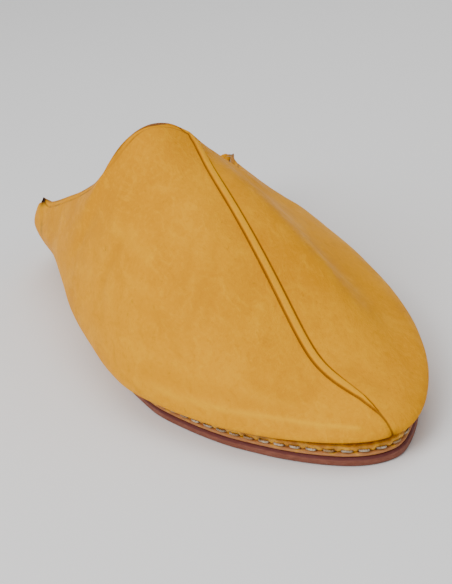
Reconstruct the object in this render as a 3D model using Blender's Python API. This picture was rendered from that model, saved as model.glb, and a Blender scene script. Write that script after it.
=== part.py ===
"""A leather babouche slipper: flat sole in two layers, rand, one hollow upper and an insole.

Metres. X runs from heel to toe, Y to the shoe's left side, Z up. The floor is z = 0.
Every length in the tables is a share of a named size: x of LENGTH, y of BALL_WIDTH, and
heights of INSTEP, counted up from the top of the rand.
"""

import math

import bpy
import numpy as np

# Driving sizes
LENGTH = 0.275
BALL_WIDTH = 0.104
INSTEP = 0.0843
GAP = 0.0003

# Leather thicknesses
OUTSOLE_THICK = 0.0037
MIDSOLE_THICK = 0.0013
RAND_THICK = 0.0028
INSOLE_THICK = 0.0022
UPPER_WALL = 0.0018
FLAP_CLEARANCE = 0.0002

# Edges, all measured inward from the sole's outline
SOLE_EDGE_ROUND = 0.0008
MIDSOLE_INSET = 0.0004
RAND_INSET = 0.0010
FEATHER_INSET = 0.0036
RAND_WIDTH = 0.0064

# Raised centre seam, a step in the upper's wall
SEAM_HALF_WIDTH = 0.0015
SEAM_HEIGHT = 0.0006
STEP_RUN = 0.0006
BORDER_SHARE = 0.6

# Mesh density
PLATE_POINTS = 96
SEGMENT_ROWS = (3, 4, 4, 4)
BORDER_ROWS = 3
PATH_STEPS = 24
FAIRING_PASSES = 2
SAME = 1e-9

# Sole outline. along: share of LENGTH from the heel. half, centre: shares of BALL_WIDTH
OUTLINE = (
    # along, half, centre
    (0.036, 0.247, 0.000),
    (0.091, 0.343, 0.000),
    (0.164, 0.373, 0.000),
    (0.255, 0.384, -0.003),
    (0.364, 0.422, -0.009),
    (0.473, 0.475, -0.015),
    (0.582, 0.498, -0.017),
    (0.673, 0.489, -0.016),
    (0.755, 0.448, -0.005),
    (0.826, 0.387, 0.004),
    (0.884, 0.315, 0.015),
    (0.933, 0.230, 0.018),
    (0.973, 0.137, 0.022),
)
HEEL_CENTRE = 0.0
TOE_CENTRE = 0.040

# Top line of the upper, near side: the centre seam from the toe back to the throat, then the
# collar's edge back to the ear, then the free edge of the heel flap that is folded down inside.
# along: where the rib starts on the sole, share of LENGTH from the heel.
# x: share of LENGTH from mid-sole, y: share of BALL_WIDTH, z: share of INSTEP
FLAP_LIE = (UPPER_WALL + FLAP_CLEARANCE) / INSTEP
NEAR_TOP = (
    # along, x, y, z
    (0.000, -0.365, 0.000, FLAP_LIE),
    (0.058, -0.358, -0.202, FLAP_LIE),
    (0.102, -0.344, -0.322, 0.128),
    (0.131, -0.338, -0.380, 0.336),
    (0.156, -0.330, -0.416, 0.482),
    (0.182, -0.309, -0.407, 0.431),
    (0.247, -0.238, -0.394, 0.508),
    (0.305, -0.173, -0.370, 0.591),
    (0.356, -0.115, -0.351, 0.668),
    (0.393, -0.067, -0.324, 0.759),
    (0.415, -0.038, -0.287, 0.870),
    (0.436, -0.027, -0.192, 0.986),
    (0.455, -0.024, -0.077, 1.015),
    (0.473, -0.024, 0.048, 0.921),
)
FAR_TOP = (
    # along, x, y, z
    (0.000, -0.365, 0.000, FLAP_LIE),
    (0.058, -0.358, 0.231, FLAP_LIE),
    (0.102, -0.344, 0.370, 0.098),
    (0.131, -0.333, 0.466, 0.259),
    (0.156, -0.325, 0.519, 0.387),
    (0.182, -0.304, 0.493, 0.348),
    (0.247, -0.242, 0.409, 0.359),
    (0.305, -0.173, 0.332, 0.437),
    (0.356, -0.122, 0.264, 0.514),
    (0.393, -0.082, 0.197, 0.603),
    (0.429, -0.049, 0.130, 0.703),
    (0.455, -0.031, 0.087, 0.798),
    (0.473, -0.024, 0.048, 0.923),
)
SEAM_LINE = (
    # along, x, y, z
    (0.473, -0.024, 0.048, 0.923),
    (0.560, 0.061, 0.010, 0.817),
    (0.618, 0.118, -0.002, 0.747),
    (0.684, 0.180, -0.013, 0.654),
    (0.749, 0.242, -0.025, 0.542),
    (0.807, 0.293, -0.032, 0.422),
    (0.851, 0.325, -0.033, 0.324),
    (0.895, 0.360, -0.032, 0.234),
    (0.938, 0.395, -0.019, 0.185),
    (0.975, 0.427, -0.002, 0.163),
    (1.000, 0.460, 0.020, 0.136),
)
THROAT_ALONG = 0.473

# Side profile of the upper, a row per rib, from the sole up.
# out: how far the wall bulges past the sole, share of BALL_WIDTH. bulge: its height.
# flank and shoulder: two points between the bulge and the top line, each by its share of the
# way across and its height. Heights are shares of INSTEP.
NEAR_PROFILE = (
    # along, out, bulge, flank_across, flank, shoulder_across, shoulder
    (0.000, 0.034, 0.063, 0.185, 0.140, 0.430, 0.053),
    (0.058, 0.048, 0.110, 0.230, 0.211, 0.500, 0.081),
    (0.102, 0.072, 0.181, 0.420, 0.324, 0.780, 0.229),
    (0.131, 0.087, 0.229, 0.300, 0.353, 0.620, 0.402),
    (0.156, 0.092, 0.241, 0.280, 0.336, 0.600, 0.397),
    (0.182, 0.094, 0.241, 0.270, 0.330, 0.600, 0.383),
    (0.247, 0.090, 0.235, 0.250, 0.359, 0.640, 0.454),
    (0.356, 0.096, 0.211, 0.260, 0.419, 0.640, 0.573),
    (0.415, 0.096, 0.187, 0.300, 0.466, 0.640, 0.703),
    (0.436, 0.093, 0.176, 0.320, 0.531, 0.675, 0.840),
    (0.455, 0.090, 0.164, 0.345, 0.623, 0.670, 0.941),
    (0.473, 0.088, 0.152, 0.365, 0.721, 0.710, 1.009),
    (0.560, 0.080, 0.104, 0.320, 0.632, 0.730, 0.840),
    (0.633, 0.077, 0.063, 0.290, 0.543, 0.710, 0.745),
    (0.684, 0.069, 0.051, 0.270, 0.478, 0.700, 0.662),
    (0.767, 0.056, 0.042, 0.250, 0.324, 0.650, 0.484),
    (0.836, 0.046, 0.039, 0.220, 0.193, 0.600, 0.306),
    (0.895, 0.037, 0.039, 0.200, 0.122, 0.560, 0.187),
    (0.949, 0.028, 0.037, 0.190, 0.098, 0.540, 0.144),
    (1.000, 0.025, 0.033, 0.170, 0.081, 0.500, 0.110),
)
FAR_PROFILE = (
    # along, out, bulge, flank_across, flank, shoulder_across, shoulder
    (0.000, 0.034, 0.063, 0.185, 0.140, 0.430, 0.053),
    (0.058, 0.054, 0.110, 0.230, 0.205, 0.500, 0.075),
    (0.102, 0.080, 0.170, 0.420, 0.282, 0.780, 0.181),
    (0.131, 0.111, 0.217, 0.300, 0.306, 0.620, 0.336),
    (0.156, 0.130, 0.241, 0.290, 0.312, 0.600, 0.353),
    (0.182, 0.135, 0.241, 0.280, 0.312, 0.600, 0.336),
    (0.247, 0.130, 0.235, 0.260, 0.327, 0.640, 0.357),
    (0.356, 0.106, 0.229, 0.300, 0.362, 0.660, 0.469),
    (0.415, 0.092, 0.217, 0.340, 0.399, 0.700, 0.561),
    (0.473, 0.078, 0.205, 0.400, 0.442, 0.800, 0.727),
    (0.560, 0.060, 0.176, 0.440, 0.442, 0.780, 0.727),
    (0.633, 0.052, 0.146, 0.440, 0.401, 0.740, 0.656),
    (0.684, 0.048, 0.128, 0.410, 0.348, 0.680, 0.579),
    (0.767, 0.045, 0.098, 0.340, 0.247, 0.600, 0.437),
    (0.836, 0.042, 0.075, 0.260, 0.164, 0.580, 0.300),
    (0.895, 0.042, 0.057, 0.200, 0.116, 0.560, 0.187),
    (0.949, 0.044, 0.043, 0.190, 0.096, 0.540, 0.144),
    (0.982, 0.042, 0.037, 0.180, 0.087, 0.520, 0.122),
    (1.000, 0.025, 0.033, 0.170, 0.081, 0.500, 0.110),
)

# How many ribs each stretch of the sole's side gets, from the heel to the toe
RIB_STRETCHES = (
    # from, to, ribs
    (0.000, 0.100, 8),
    (0.100, 0.182, 8),
    (0.182, 0.393, 8),
    (0.393, 0.473, 7),
    (0.473, 0.950, 20),
    (0.950, 1.000, 5),
)

LEATHER_OCHRE = (0.597, 0.328, 0.045, 1.0)
LEATHER_RAND = (0.610, 0.376, 0.052, 1.0)
LEATHER_TAN = (0.515, 0.262, 0.133, 1.0)
LEATHER_RED = (0.223, 0.091, 0.070, 1.0)
LEATHER_PALE = (0.560, 0.380, 0.190, 1.0)


def clear_scene():
    """Remove every object that the file opened with."""
    for obj in list(bpy.data.objects):
        bpy.data.objects.remove(obj, do_unlink=True)


def leather(name, colour, roughness):
    """A plain leather material."""
    mat = bpy.data.materials.new(name)
    mat.use_nodes = True
    shader = mat.node_tree.nodes["Principled BSDF"]
    shader.inputs["Base Color"].default_value = colour
    shader.inputs["Roughness"].default_value = roughness
    shader.inputs["Metallic"].default_value = 0.0
    return mat


def monotone(xs, ys, x):
    """Smooth interpolation of a table's column that never overshoots its rows."""
    xs = np.asarray(xs, float)
    ys = np.asarray(ys, float)
    width = np.diff(xs)
    slope = np.diff(ys) / width
    tangent = np.zeros(len(xs))
    tangent[0] = slope[0]
    tangent[-1] = slope[-1]
    for i in range(1, len(xs) - 1):
        if slope[i - 1] * slope[i] > 0:
            before = 2 * width[i] + width[i - 1]
            after = width[i] + 2 * width[i - 1]
            tangent[i] = (before + after) / (before / slope[i - 1] + after / slope[i])
    x = min(max(float(x), xs[0]), xs[-1])
    k = min(int(np.searchsorted(xs, x, side="right")) - 1, len(width) - 1)
    t = (x - xs[k]) / width[k]
    return (
        (1 + 2 * t) * (1 - t) ** 2 * ys[k]
        + t * (1 - t) ** 2 * width[k] * tangent[k]
        + t * t * (3 - 2 * t) * ys[k + 1]
        + t * t * (t - 1) * width[k] * tangent[k + 1]
    )


def turn(along):
    """The angle round the sole that a share of its length stands for."""
    return math.acos(1 - 2 * min(max(along, 0.0), 1.0))


def row_at(table, along):
    """One row of a table, worked out at any share of the length."""
    turns = [turn(row[0]) for row in table]
    here = turn(along)
    return [monotone(turns, [row[c] for row in table], here) for c in range(1, len(table[0]))]


def outline_point(along, side):
    """A point of the sole's outline. side is -1 on the near side and 1 on the far side."""
    table = ((0.0, 0.0, HEEL_CENTRE),) + OUTLINE + ((1.0, 0.0, TOE_CENTRE),)
    half, centre = row_at(table, along)
    return np.array([(along - 0.5) * LENGTH, (centre + side * half) * BALL_WIDTH])


def outline_loop(count):
    """Points and outward directions round the sole, evenly spread by turn."""
    marks = []
    for i in range(count):
        angle = 2 * math.pi * i / count
        side = -1 if angle < math.pi else 1
        marks.append(((1 - math.cos(angle)) / 2, side))
    points = [outline_point(along, side) for along, side in marks]
    return points, outward(points)


def outward(points):
    """Unit directions that point out of a loop running heel, near side, toe, far side."""
    count = len(points)
    directions = []
    for i in range(count):
        run = points[(i + 1) % count] - points[i - 1]
        directions.append(np.array([run[1], -run[0]]) / np.linalg.norm(run))
    return directions


def make_object(name, vertices, faces, material, smooth_angle=40):
    """A mesh object from plain lists."""
    mesh = bpy.data.meshes.new(name)
    mesh.from_pydata([tuple(v) for v in vertices], [], faces)
    mesh.materials.append(material)
    mesh.update()
    mesh.shade_smooth()
    mesh.set_sharp_from_angle(angle=math.radians(smooth_angle))
    obj = bpy.data.objects.new(name, mesh)
    bpy.context.scene.collection.objects.link(obj)
    return obj


def plate(name, levels, material):
    """A sole layer. levels lists the height and inset of each ring, from the bottom up."""
    points, directions = outline_loop(PLATE_POINTS)
    vertices = []
    faces = []
    for height, inset in levels:
        for p, d in zip(points, directions):
            q = p - d * inset
            vertices.append((q[0], q[1], height))
    for level in range(len(levels) - 1):
        low = level * PLATE_POINTS
        high = low + PLATE_POINTS
        for i in range(PLATE_POINTS):
            j = (i + 1) % PLATE_POINTS
            faces.append((low + i, low + j, high + j, high + i))
    top = (len(levels) - 1) * PLATE_POINTS
    faces.append(tuple(reversed(range(PLATE_POINTS))))
    faces.append(tuple(range(top, top + PLATE_POINTS)))
    return make_object(name, vertices, faces, material)


def strip(name, section, material):
    """A closed strip round the sole. section lists the height and inset of its corners."""
    points, directions = outline_loop(PLATE_POINTS)
    vertices = []
    faces = []
    for height, inset in section:
        for p, d in zip(points, directions):
            q = p - d * inset
            vertices.append((q[0], q[1], height))
    for corner in range(len(section)):
        low = corner * PLATE_POINTS
        high = ((corner + 1) % len(section)) * PLATE_POINTS
        for i in range(PLATE_POINTS):
            j = (i + 1) % PLATE_POINTS
            faces.append((low + i, low + j, high + j, high + i))
    return make_object(name, vertices, faces, material)


def smooth_path(points, start_run):
    """A dense smooth curve through a rib's few points."""
    points = [np.array(p, float) for p in points]
    knots = [0.0]
    for a, b in zip(points, points[1:]):
        knots.append(knots[-1] + math.sqrt(np.linalg.norm(b - a)))
    tangents = [start_run * np.linalg.norm(points[1] - points[0]) / (knots[1] - knots[0])]
    for i in range(1, len(points) - 1):
        before = (points[i] - points[i - 1]) / (knots[i] - knots[i - 1])
        after = (points[i + 1] - points[i]) / (knots[i + 1] - knots[i])
        w = (knots[i + 1] - knots[i]) / (knots[i + 1] - knots[i - 1])
        tangents.append(w * before + (1 - w) * after)
    last = (points[-1] - points[-2]) / (knots[-1] - knots[-2])
    tangents.append(1.5 * last - 0.5 * tangents[-1])
    path = []
    for i in range(len(points) - 1):
        width = knots[i + 1] - knots[i]
        for k in range(PATH_STEPS):
            t = k / PATH_STEPS
            path.append(
                (1 + 2 * t) * (1 - t) ** 2 * points[i]
                + t * (1 - t) ** 2 * width * tangents[i]
                + t * t * (3 - 2 * t) * points[i + 1]
                + t * t * (t - 1) * width * tangents[i + 1]
            )
    path.append(points[-1])
    return np.array(path)


def feather_height():
    """Height of the rand's top, where the upper and the insole meet it."""
    return OUTSOLE_THICK + MIDSOLE_THICK + RAND_THICK + 2 * GAP


def rib(along, side, direction):
    """One rib of the upper's outer face, from the rand up to the top line."""
    foot = outline_point(along, side)
    top_table = SEAM_LINE if along >= THROAT_ALONG else (NEAR_TOP if side < 0 else FAR_TOP)
    x, y, z = row_at(top_table, along)
    base = feather_height() + GAP
    top = np.array([x * LENGTH, y * BALL_WIDTH, base + z * INSTEP])
    profile = row_at(NEAR_PROFILE if side < 0 else FAR_PROFILE, along)
    out, bulge, flank_across, flank, shoulder_across, shoulder = profile
    bulge_plan = foot + direction * out * BALL_WIDTH
    feather_plan = foot - direction * FEATHER_INSET
    across = top[:2] - bulge_plan
    points = [
        (*feather_plan, base),
        (*bulge_plan, base + bulge * INSTEP),
        (*(bulge_plan + across * flank_across), base + flank * INSTEP),
        (*(bulge_plan + across * shoulder_across), base + shoulder * INSTEP),
        tuple(top),
    ]
    start_run = np.array([direction[0], direction[1], 0.35])
    path = smooth_path(points, start_run)
    run = np.concatenate([[0.0], np.cumsum(np.linalg.norm(np.diff(path, axis=0), axis=1))])
    stops = [run[k * PATH_STEPS] for k in range(len(points))]
    border = SEAM_HALF_WIDTH + 2 * STEP_RUN
    squeeze = min(1.0, (stops[-1] - stops[-2]) * BORDER_SHARE / border)
    stops[-1] -= border * squeeze
    marks = [stops[0]]
    for k, rows in enumerate(SEGMENT_ROWS):
        marks += [stops[k] + (stops[k + 1] - stops[k]) * r / rows for r in range(1, rows + 1)]
    marks.append(run[-1] - (SEAM_HALF_WIDTH + STEP_RUN) * squeeze)
    marks.append(run[-1] - SEAM_HALF_WIDTH * squeeze)
    marks.append(run[-1])
    return np.array([[np.interp(m, run, path[:, c]) for c in range(3)] for m in marks])


def rib_marks():
    """Where the ribs stand: heel, near side, toe, far side. Each is (along, side)."""
    side_marks = [0.0]
    for start, end, count in RIB_STRETCHES:
        a = turn(start)
        b = turn(end)
        for k in range(1, count + 1):
            side_marks.append((1 - math.cos(a + (b - a) * k / count)) / 2)
    near = [(along, -1) for along in side_marks]
    far = [(along, 1) for along in reversed(side_marks[1:-1])]
    return near + far


def fair(ribs):
    """Each rib drawn halfway to its two neighbours, so the leather runs smoothly."""
    faired = 0.5 * ribs + 0.25 * (np.roll(ribs, 1, axis=0) + np.roll(ribs, -1, axis=0))
    faired[:, 0] = ribs[:, 0]
    return faired


def build_upper(material):
    """The upper: outer face from ribs, inner face one wall inside it, closed at its edges."""
    marks = rib_marks()
    count = len(marks)
    feet = [outline_point(along, side) for along, side in marks]
    directions = outward(feet)
    ribs = np.array([rib(along, side, d) for (along, side), d in zip(marks, directions)])
    rows = 1 + sum(SEGMENT_ROWS) + BORDER_ROWS
    toe = count // 2
    for _ in range(FAIRING_PASSES):
        ribs = fair(ribs)

    # The two sides share the seam's points, from the throat to the toe's own rib
    base = []
    index = {}
    for i, (along, side) in enumerate(marks):
        for j in range(rows):
            on_seam = j == rows - 1 and along > THROAT_ALONG - SAME
            twin = (count - i) % count
            if on_seam and side > 0:
                index[i, j] = index[twin, j]
                continue
            index[i, j] = len(base)
            base.append(ribs[i][j])
    quads = []
    for i in range(count):
        k = (i + 1) % count
        for j in range(rows - 1):
            quad = (index[i, j], index[k, j], index[k, j + 1], index[i, j + 1])
            quads.append(quad)
    base = np.array(base)
    normals = np.zeros_like(base)
    for quad in quads:
        a, b, c, d = (base[q] for q in quad)
        face = np.cross(c - a, d - b)
        for q in quad:
            normals[q] += face
    normals /= np.linalg.norm(normals, axis=1)[:, None]

    raised = np.zeros(len(base))
    for i, (along, side) in enumerate(marks):
        if along > THROAT_ALONG + SAME and i != toe:
            raised[index[i, rows - 2]] = SEAM_HEIGHT
            raised[index[i, rows - 1]] = SEAM_HEIGHT
    outer = base + normals * raised[:, None]
    inner = base - normals * UPPER_WALL

    shift = len(base)
    vertices = list(outer) + list(inner)
    faces = list(quads)
    faces += [tuple(q + shift for q in reversed(quad)) for quad in quads]
    for i in range(count):
        k = (i + 1) % count
        low_a = index[i, 0]
        low_b = index[k, 0]
        faces.append((low_b, low_a, low_a + shift, low_b + shift))
        top_a = index[i, rows - 1]
        top_b = index[k, rows - 1]
        open_edge = max(marks[i][0], marks[k][0]) < THROAT_ALONG + SAME
        if open_edge:
            faces.append((top_a, top_b, top_b + shift, top_a + shift))
    return make_object("upper", vertices, faces, material, smooth_angle=50)


def centre_on_floor(objects):
    """Move all the pieces together, so the origin is under the middle of their common box."""
    corners = np.array([obj.matrix_world @ v.co for obj in objects for v in obj.data.vertices])
    low = corners.min(axis=0)
    high = corners.max(axis=0)
    for obj in objects:
        obj.location = (-(low[0] + high[0]) / 2, -(low[1] + high[1]) / 2, -low[2])


def main():
    clear_scene()
    outsole_top = OUTSOLE_THICK
    midsole_low = outsole_top + GAP
    midsole_top = midsole_low + MIDSOLE_THICK
    rand_low = midsole_top + GAP
    rand_top = rand_low + RAND_THICK
    insole_inset = RAND_INSET + RAND_WIDTH + GAP
    outsole = plate(
        "outsole",
        [
            (0.0, SOLE_EDGE_ROUND),
            (SOLE_EDGE_ROUND, 0.0),
            (outsole_top - SOLE_EDGE_ROUND / 2, 0.0),
            (outsole_top, SOLE_EDGE_ROUND / 2),
        ],
        leather("red_leather", LEATHER_RED, 0.6),
    )
    midsole = plate(
        "midsole",
        [(midsole_low, MIDSOLE_INSET), (midsole_top, MIDSOLE_INSET)],
        leather("tan_leather", LEATHER_TAN, 0.6),
    )
    rand = strip(
        "rand",
        [
            (rand_low, RAND_INSET),
            (rand_top - SOLE_EDGE_ROUND, RAND_INSET),
            (rand_top, RAND_INSET + SOLE_EDGE_ROUND),
            (rand_top, RAND_INSET + RAND_WIDTH),
            (rand_low, RAND_INSET + RAND_WIDTH),
        ],
        leather("rand_leather", LEATHER_RAND, 0.5),
    )
    insole = plate(
        "insole",
        [(rand_low, insole_inset), (rand_low + INSOLE_THICK, insole_inset)],
        leather("pale_leather", LEATHER_PALE, 0.6),
    )
    upper = build_upper(leather("ochre_leather", LEATHER_OCHRE, 0.45))
    centre_on_floor([outsole, midsole, rand, insole, upper])


main()
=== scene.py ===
"""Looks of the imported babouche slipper: detailed leather, thread and sole edges on its frame.

Metres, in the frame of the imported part: X heel to toe, Y to the shoe's left side, Z up.
The tables and the rib functions are those of the part's source, so every detailed piece
follows the same outline, top line and profile as the solid that it stands for.
"""

import math

import bpy
import numpy as np
from mathutils import Matrix, Vector, noise


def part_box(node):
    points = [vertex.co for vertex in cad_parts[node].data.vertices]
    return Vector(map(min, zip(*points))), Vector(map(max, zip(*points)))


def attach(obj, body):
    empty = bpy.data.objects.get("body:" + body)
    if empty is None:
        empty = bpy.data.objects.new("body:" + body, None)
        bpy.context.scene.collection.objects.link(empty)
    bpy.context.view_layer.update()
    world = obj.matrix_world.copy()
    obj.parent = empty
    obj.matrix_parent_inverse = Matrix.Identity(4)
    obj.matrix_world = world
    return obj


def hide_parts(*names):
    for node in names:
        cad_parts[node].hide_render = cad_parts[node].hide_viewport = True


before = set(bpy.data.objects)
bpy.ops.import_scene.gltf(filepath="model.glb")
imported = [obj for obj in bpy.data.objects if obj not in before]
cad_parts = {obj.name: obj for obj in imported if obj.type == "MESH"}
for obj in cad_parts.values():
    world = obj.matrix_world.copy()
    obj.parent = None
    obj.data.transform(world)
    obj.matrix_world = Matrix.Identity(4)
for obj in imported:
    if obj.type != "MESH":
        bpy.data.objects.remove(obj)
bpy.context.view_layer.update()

# Driving sizes
LENGTH = 0.275
BALL_WIDTH = 0.104
INSTEP = 0.0843
GAP = 0.0003

# Leather thicknesses
OUTSOLE_THICK = 0.0037
MIDSOLE_THICK = 0.0013
RAND_THICK = 0.0028
UPPER_WALL = 0.0018
FLAP_CLEARANCE = 0.0002

# Edges, all measured inward from the sole's outline
MIDSOLE_INSET = 0.0004
RAND_INSET = 0.0010
FEATHER_INSET = 0.0036
RAND_WIDTH = 0.0064

# Raised centre seam, a step in the upper's wall
SEAM_HALF_WIDTH = 0.0015
SEAM_HEIGHT = 0.0006
STEP_RUN = 0.0006
BORDER_SHARE = 0.6

# Mesh density
PLATE_POINTS = 96
SEGMENT_ROWS = (3, 4, 4, 4)
PATH_STEPS = 24
FAIRING_PASSES = 2
SAME = 1e-9

# Sole outline. along: share of LENGTH from the heel. half, centre: shares of BALL_WIDTH
OUTLINE = (
    # along, half, centre
    (0.036, 0.247, 0.000),
    (0.091, 0.343, 0.000),
    (0.164, 0.373, 0.000),
    (0.255, 0.384, -0.003),
    (0.364, 0.422, -0.009),
    (0.473, 0.475, -0.015),
    (0.582, 0.498, -0.017),
    (0.673, 0.489, -0.016),
    (0.755, 0.448, -0.005),
    (0.826, 0.387, 0.004),
    (0.884, 0.315, 0.015),
    (0.933, 0.230, 0.018),
    (0.973, 0.137, 0.022),
)
HEEL_CENTRE = 0.0
TOE_CENTRE = 0.040

# Top line of the upper, near side: the centre seam from the toe back to the throat, then the
# collar's edge back to the ear, then the free edge of the heel flap that is folded down inside.
# along: where the rib starts on the sole, share of LENGTH from the heel.
# x: share of LENGTH from mid-sole, y: share of BALL_WIDTH, z: share of INSTEP
FLAP_LIE = (UPPER_WALL + FLAP_CLEARANCE) / INSTEP
NEAR_TOP = (
    # along, x, y, z
    (0.000, -0.365, 0.000, FLAP_LIE),
    (0.058, -0.358, -0.202, FLAP_LIE),
    (0.102, -0.344, -0.322, 0.128),
    (0.131, -0.338, -0.380, 0.336),
    (0.156, -0.330, -0.416, 0.482),
    (0.182, -0.309, -0.407, 0.431),
    (0.247, -0.238, -0.394, 0.508),
    (0.305, -0.173, -0.370, 0.591),
    (0.356, -0.115, -0.351, 0.668),
    (0.393, -0.067, -0.324, 0.759),
    (0.415, -0.038, -0.287, 0.870),
    (0.436, -0.027, -0.192, 0.986),
    (0.455, -0.024, -0.077, 1.015),
    (0.473, -0.024, 0.048, 0.921),
)
FAR_TOP = (
    # along, x, y, z
    (0.000, -0.365, 0.000, FLAP_LIE),
    (0.058, -0.358, 0.231, FLAP_LIE),
    (0.102, -0.344, 0.370, 0.098),
    (0.131, -0.333, 0.466, 0.259),
    (0.156, -0.325, 0.519, 0.387),
    (0.182, -0.304, 0.493, 0.348),
    (0.247, -0.242, 0.409, 0.359),
    (0.305, -0.173, 0.332, 0.437),
    (0.356, -0.122, 0.264, 0.514),
    (0.393, -0.082, 0.197, 0.603),
    (0.429, -0.049, 0.130, 0.703),
    (0.455, -0.031, 0.087, 0.798),
    (0.473, -0.024, 0.048, 0.923),
)
SEAM_LINE = (
    # along, x, y, z
    (0.473, -0.024, 0.048, 0.923),
    (0.560, 0.061, 0.010, 0.817),
    (0.618, 0.118, -0.002, 0.747),
    (0.684, 0.180, -0.013, 0.654),
    (0.749, 0.242, -0.025, 0.542),
    (0.807, 0.293, -0.032, 0.422),
    (0.851, 0.325, -0.033, 0.324),
    (0.895, 0.360, -0.032, 0.234),
    (0.938, 0.395, -0.019, 0.185),
    (0.975, 0.427, -0.002, 0.163),
    (1.000, 0.460, 0.020, 0.136),
)
THROAT_ALONG = 0.473

# Side profile of the upper, a row per rib, from the sole up.
# out: how far the wall bulges past the sole, share of BALL_WIDTH. bulge: its height.
# flank and shoulder: two points between the bulge and the top line, each by its share of the
# way across and its height. Heights are shares of INSTEP.
NEAR_PROFILE = (
    # along, out, bulge, flank_across, flank, shoulder_across, shoulder
    (0.000, 0.034, 0.063, 0.185, 0.140, 0.430, 0.053),
    (0.058, 0.048, 0.110, 0.230, 0.211, 0.500, 0.081),
    (0.102, 0.072, 0.181, 0.420, 0.324, 0.780, 0.229),
    (0.131, 0.087, 0.229, 0.300, 0.353, 0.620, 0.402),
    (0.156, 0.092, 0.241, 0.280, 0.336, 0.600, 0.397),
    (0.182, 0.094, 0.241, 0.270, 0.330, 0.600, 0.383),
    (0.247, 0.090, 0.235, 0.250, 0.359, 0.640, 0.454),
    (0.356, 0.096, 0.211, 0.260, 0.419, 0.640, 0.573),
    (0.415, 0.096, 0.187, 0.300, 0.466, 0.640, 0.703),
    (0.436, 0.093, 0.176, 0.320, 0.531, 0.675, 0.840),
    (0.455, 0.090, 0.164, 0.345, 0.623, 0.670, 0.941),
    (0.473, 0.088, 0.152, 0.365, 0.721, 0.710, 1.009),
    (0.560, 0.080, 0.104, 0.320, 0.632, 0.730, 0.840),
    (0.633, 0.077, 0.063, 0.290, 0.543, 0.710, 0.745),
    (0.684, 0.069, 0.051, 0.270, 0.478, 0.700, 0.662),
    (0.767, 0.056, 0.042, 0.250, 0.324, 0.650, 0.484),
    (0.836, 0.046, 0.039, 0.220, 0.193, 0.600, 0.306),
    (0.895, 0.037, 0.039, 0.200, 0.122, 0.560, 0.187),
    (0.949, 0.028, 0.037, 0.190, 0.098, 0.540, 0.144),
    (1.000, 0.025, 0.033, 0.170, 0.081, 0.500, 0.110),
)
FAR_PROFILE = (
    # along, out, bulge, flank_across, flank, shoulder_across, shoulder
    (0.000, 0.034, 0.063, 0.185, 0.140, 0.430, 0.053),
    (0.058, 0.054, 0.110, 0.230, 0.205, 0.500, 0.075),
    (0.102, 0.080, 0.170, 0.420, 0.282, 0.780, 0.181),
    (0.131, 0.111, 0.217, 0.300, 0.306, 0.620, 0.336),
    (0.156, 0.130, 0.241, 0.290, 0.312, 0.600, 0.353),
    (0.182, 0.135, 0.241, 0.280, 0.312, 0.600, 0.336),
    (0.247, 0.130, 0.235, 0.260, 0.327, 0.640, 0.357),
    (0.356, 0.106, 0.229, 0.300, 0.362, 0.660, 0.469),
    (0.415, 0.092, 0.217, 0.340, 0.399, 0.700, 0.561),
    (0.473, 0.078, 0.205, 0.400, 0.442, 0.800, 0.727),
    (0.560, 0.060, 0.176, 0.440, 0.442, 0.780, 0.727),
    (0.633, 0.052, 0.146, 0.440, 0.401, 0.740, 0.656),
    (0.684, 0.048, 0.128, 0.410, 0.348, 0.680, 0.579),
    (0.767, 0.045, 0.098, 0.340, 0.247, 0.600, 0.437),
    (0.836, 0.042, 0.075, 0.260, 0.164, 0.580, 0.300),
    (0.895, 0.042, 0.057, 0.200, 0.116, 0.560, 0.187),
    (0.949, 0.044, 0.043, 0.190, 0.096, 0.540, 0.144),
    (0.982, 0.042, 0.037, 0.180, 0.087, 0.520, 0.122),
    (1.000, 0.025, 0.033, 0.170, 0.081, 0.500, 0.110),
)

# How many ribs each stretch of the sole's side gets, from the heel to the toe
RIB_STRETCHES = (
    # from, to, ribs
    (0.000, 0.100, 8),
    (0.100, 0.182, 8),
    (0.182, 0.393, 8),
    (0.393, 0.473, 7),
    (0.473, 0.950, 20),
    (0.950, 1.000, 5),
)


def cubic(t, width, start, start_run, end, end_run):
    """A smooth curve from start to end, at its share t, with a given slope at either end."""
    return (
        (1 + 2 * t) * (1 - t) ** 2 * start
        + t * (1 - t) ** 2 * width * start_run
        + t * t * (3 - 2 * t) * end
        + t * t * (t - 1) * width * end_run
    )


def monotone(xs, ys, x):
    """Smooth interpolation of a table's column that never overshoots its rows."""
    xs = np.asarray(xs, float)
    ys = np.asarray(ys, float)
    width = np.diff(xs)
    slope = np.diff(ys) / width
    tangent = np.zeros(len(xs))
    tangent[0] = slope[0]
    tangent[-1] = slope[-1]
    for i in range(1, len(xs) - 1):
        if slope[i - 1] * slope[i] > 0:
            before = 2 * width[i] + width[i - 1]
            after = width[i] + 2 * width[i - 1]
            tangent[i] = (before + after) / (before / slope[i - 1] + after / slope[i])
    x = min(max(float(x), xs[0]), xs[-1])
    k = min(int(np.searchsorted(xs, x, side="right")) - 1, len(width) - 1)
    t = (x - xs[k]) / width[k]
    return cubic(t, width[k], ys[k], tangent[k], ys[k + 1], tangent[k + 1])


def turn(along):
    """The angle round the sole that a share of its length stands for."""
    return math.acos(1 - 2 * min(max(along, 0.0), 1.0))


def row_at(table, along):
    """One row of a table, worked out at any share of the length."""
    turns = [turn(row[0]) for row in table]
    here = turn(along)
    return [monotone(turns, [row[c] for row in table], here) for c in range(1, len(table[0]))]


def outline_point(along, side):
    """A point of the sole's outline. side is -1 on the near side and 1 on the far side."""
    table = ((0.0, 0.0, HEEL_CENTRE),) + OUTLINE + ((1.0, 0.0, TOE_CENTRE),)
    half, centre = row_at(table, along)
    return np.array([(along - 0.5) * LENGTH, (centre + side * half) * BALL_WIDTH])


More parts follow.
